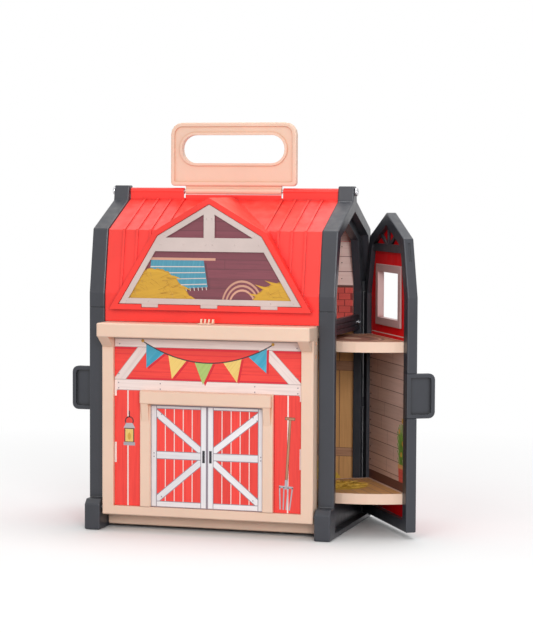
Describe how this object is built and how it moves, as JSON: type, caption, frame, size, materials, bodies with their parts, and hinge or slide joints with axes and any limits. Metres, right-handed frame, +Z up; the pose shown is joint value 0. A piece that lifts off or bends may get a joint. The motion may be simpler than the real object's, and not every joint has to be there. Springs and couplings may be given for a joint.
{
  "type": "toy barn with opening doors",
  "caption": "Moulded red play barn with a lifting dormer roof, drop-down front wall, swinging side walls with quarter-round floors, a loft and a folding carry handle",
  "frame": {"origin": "middle of the footprint of the two side frames, on the floor", "axes": "+Z up, +X towards the open side wall, -Y is the front with the printed doors"},
  "size_m": [0.36, 0.1804, 0.401],
  "materials": {
    "charcoal": "moulded, fine satin texture",
    "red": "moulded, satin gloss",
    "peach": "moulded, satin",
    "pale": "moulded, satin",
    "dark_red": "moulded boards, satin",
    "print": "printed card, light sheen",
    "film": "tinted printed film",
    "steel": "plated"
  },
  "bodies": {
    "barn": {"side_frame_right": "charcoal", "side_frame_left": "charcoal", "sill_rail_right": "charcoal", "sill_rail_left": "charcoal", "base_floor": "peach", "loft_floor": "peach", "back_wall": "red", "back_card": "print", "loft_card": "print", "roof_rear": "red", "ridge_rod": "steel", "ridge_screw_right": "steel", "ridge_screw_left": "steel", "rail_screw_right": "steel", "rail_screw_left": "steel", "back_screw_right_1": "steel", "back_screw_right_2": "steel", "back_screw_right_3": "steel", "back_screw_left_1": "steel", "back_screw_left_2": "steel", "back_screw_left_3": "steel"},
    "roof": {"roof_flap": "red", "window_frame": "pale", "window_film": "film"},
    "handle": {"carry_handle": "peach"},
    "front": {"front_tray": "peach", "front_card": "print", "yard_card": "print", "door_surround": "peach", "centre_catch": "peach", "front_pin_right": "steel", "front_pin_left": "steel"},
    "wall_right": {"wall_frame_right": "charcoal", "wall_panel_right": "dark_red", "wall_window_right": "pale", "wall_card_right": "print", "wall_floor_right": "peach", "floor_card_right": "print", "wall_shelf_right": "peach", "shelf_card_right": "print", "wall_pull_right": "charcoal", "wall_pin_right": "steel"},
    "wall_left": {"wall_frame_left": "charcoal", "wall_panel_left": "dark_red", "wall_window_left": "pale", "wall_card_left": "print", "wall_floor_left": "peach", "floor_card_left": "print", "wall_pull_left": "charcoal", "wall_pin_left": "steel"}
  },
  "joints": [
    {"name": "roof_lift", "type": "hinge", "parent": "barn", "child": "roof", "pos_m": [0, 0, 0.3325], "axis": [-1, 0, 0], "range_deg": [0, 88]},
    {"name": "handle_fold", "type": "hinge", "parent": "barn", "child": "handle", "pos_m": [0, 0, 0.3325], "axis": [-1, 0, 0], "range_deg": [0, 112]},
    {"name": "front_drop", "type": "hinge", "parent": "barn", "child": "front", "pos_m": [0, -0.082, 0.022], "axis": [1, 0, 0], "range_deg": [0, 90]},
    {"name": "wall_right_swing", "type": "hinge", "parent": "barn", "child": "wall_right", "pos_m": [0.1223, 0.0713, 0.12], "axis": [0, 0, 1], "range_deg": [-31, 59]},
    {"name": "wall_left_swing", "type": "hinge", "parent": "barn", "child": "wall_left", "pos_m": [-0.1223, 0.0713, 0.12], "axis": [0, 0, -1], "range_deg": [0, 90]}
  ]
}
